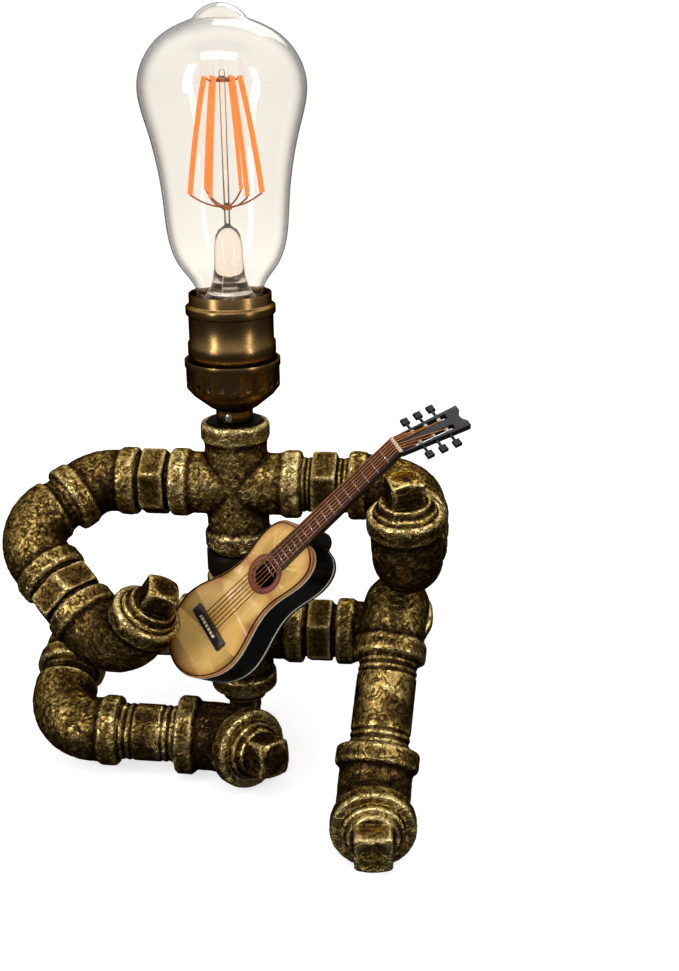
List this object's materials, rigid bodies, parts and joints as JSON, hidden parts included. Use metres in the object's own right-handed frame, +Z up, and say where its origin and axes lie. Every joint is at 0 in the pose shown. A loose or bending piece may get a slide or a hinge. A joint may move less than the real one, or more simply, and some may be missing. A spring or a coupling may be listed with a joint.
{
  "type": "pipe figure desk lamp",
  "caption": "Desk lamp shaped as a seated figure of pipe fittings that holds a small guitar, with a clear filament bulb in a lampholder for its head.",
  "frame": {"origin": "on the table under the middle of the trunk, at the flat end of the seat plug", "axes": "+Z up along the trunk and the bulb, +X to the viewer's right, +Y to the back of the figure"},
  "size_m": [0.1752, 0.1458, 0.274],
  "materials": {
    "aged_bronze": "antique bronze paint over a cast surface, rubbed bright on the high spots",
    "holder_bronze": "dark antique bronze plating, satin polish",
    "plated_steel": "plated",
    "bright_screw": "bright zinc",
    "black_rubber": "matt",
    "white_ceramic": "glazed",
    "black_insulator": "gloss",
    "liner_card": "matt card",
    "plain_brass": "bright",
    "solder": "solder",
    "clear_glass": "clear",
    "glowing_filament": "glowing orange phosphor",
    "copper_wire": "bright copper",
    "spruce": "gloss varnish",
    "black_lacquer": "gloss lacquer",
    "dark_neck": "gloss varnish",
    "cream_binding": "gloss",
    "cream_bone": "gloss",
    "red_rosette": "gloss varnish",
    "black_bridge": "satin",
    "rosewood": "satin",
    "fret_steel": "bright",
    "string_bronze": "bright",
    "black_pegs": "gloss",
    "black_steel": "satin black"
  },
  "bodies": {
    "trunk": {"bracket_screws": "bright_screw", "cable_grommet": "black_rubber", "guitar_back": "black_lacquer", "guitar_binding": "cream_binding", "guitar_bracket": "black_steel", "guitar_bridge": "black_bridge", "guitar_fretboard": "rosewood", "guitar_frets": "fret_steel", "guitar_neck": "dark_neck", "guitar_nut": "cream_bone", "guitar_pegs": "black_pegs", "guitar_ribs": "black_lacquer", "guitar_rosette": "red_rosette", "guitar_saddle": "cream_bone", "guitar_strings": "string_bronze", "guitar_top": "spruce", "hip_cross": "aged_bronze", "lamp_nipple": "plated_steel", "left_hip_elbow": "aged_bronze", "left_hip_nipple": "aged_bronze", "left_knee_elbow": "aged_bronze", "left_shin_pipe": "aged_bronze", "right_forearm_nipple": "aged_bronze", "right_hip_elbow": "aged_bronze", "right_hip_nipple": "aged_bronze", "right_knee_elbow": "aged_bronze", "right_shin_pipe": "aged_bronze", "right_shoulder_elbow": "aged_bronze", "right_shoulder_nipple": "aged_bronze", "seat_plug": "aged_bronze", "shoulder_cross": "aged_bronze", "top_bushing": "plated_steel", "trunk_nipple": "aged_bronze"},
    "lampholder": {"socket_cap": "holder_bronze", "set_screw": "bright_screw", "lock_nut": "plated_steel", "socket_shell": "holder_bronze", "socket_core": "white_ceramic", "socket_liner": "liner_card", "screw_shell": "plain_brass", "socket_contact": "plain_brass"},
    "bulb_tip": {"bulb_contact": "solder"},
    "bulb": {"bulb_insulator": "black_insulator", "bulb_cap": "plain_brass", "bulb_glass": "clear_glass", "bulb_stem": "clear_glass", "bulb_filaments": "glowing_filament", "filament_supports": "copper_wire"},
    "left_arm": {"left_shoulder_nipple": "aged_bronze", "left_shoulder_elbow": "aged_bronze", "left_elbow": "aged_bronze", "left_forearm_nipple": "aged_bronze"},
    "left_hand": {"left_hand_elbow": "aged_bronze", "left_hand_plug": "aged_bronze"},
    "right_hand": {"right_hand_elbow": "aged_bronze", "right_hand_plug": "aged_bronze"},
    "right_foot": {"right_foot_elbow": "aged_bronze", "right_foot_plug": "aged_bronze"},
    "left_foot": {"left_foot_elbow": "aged_bronze", "left_foot_plug": "aged_bronze"}
  },
  "joints": [
    {"name": "lampholder_turn", "type": "hinge", "parent": "trunk", "child": "lampholder", "pos_m": [0, 0, 0.1249], "axis": [0, 0, 1], "range_deg": [-90, 90]},
    {"name": "bulb_rise", "type": "slide", "parent": "lampholder", "child": "bulb_tip", "axis": [0, 0, 1], "range_m": [0, 0.02087]},
    {"name": "bulb_turn", "type": "hinge", "parent": "bulb_tip", "child": "bulb", "pos_m": [0, 0, 0.1249], "axis": [0, 0, 1], "range_deg": [0, 2070]},
    {"name": "left_arm_turn", "type": "hinge", "parent": "trunk", "child": "left_arm", "pos_m": [-0.0252, 0, 0.0997], "axis": [-1, 0, 0], "range_deg": [-2, 40]},
    {"name": "left_hand_turn", "type": "hinge", "parent": "left_arm", "child": "left_hand", "pos_m": [-0.06323, -0.03425, 0.07148], "axis": [0.6877, -0.461, -0.5608], "range_deg": [-8, 50]},
    {"name": "right_hand_turn", "type": "hinge", "parent": "trunk", "child": "right_hand", "pos_m": [0.0685, -0.02488, 0.09567], "axis": [0, -0.9871, -0.1599], "range_deg": [-45, 60]},
    {"name": "right_foot_turn", "type": "hinge", "parent": "trunk", "child": "right_foot", "pos_m": [0.05942, -0.07314, 0.02839], "axis": [-0.068, -0.6791, -0.7309], "range_deg": [-35, 35]},
    {"name": "left_foot_turn", "type": "hinge", "parent": "trunk", "child": "left_foot", "pos_m": [-0.01773, -0.04438, 0.01467], "axis": [0.9994, 0.0153, -0.0314], "range_deg": [-30, 35]}
  ],
  "couplings": [
    {"joint": "bulb_turn", "follows": "bulb_rise", "rad_per_m": 1730.9}
  ]
}
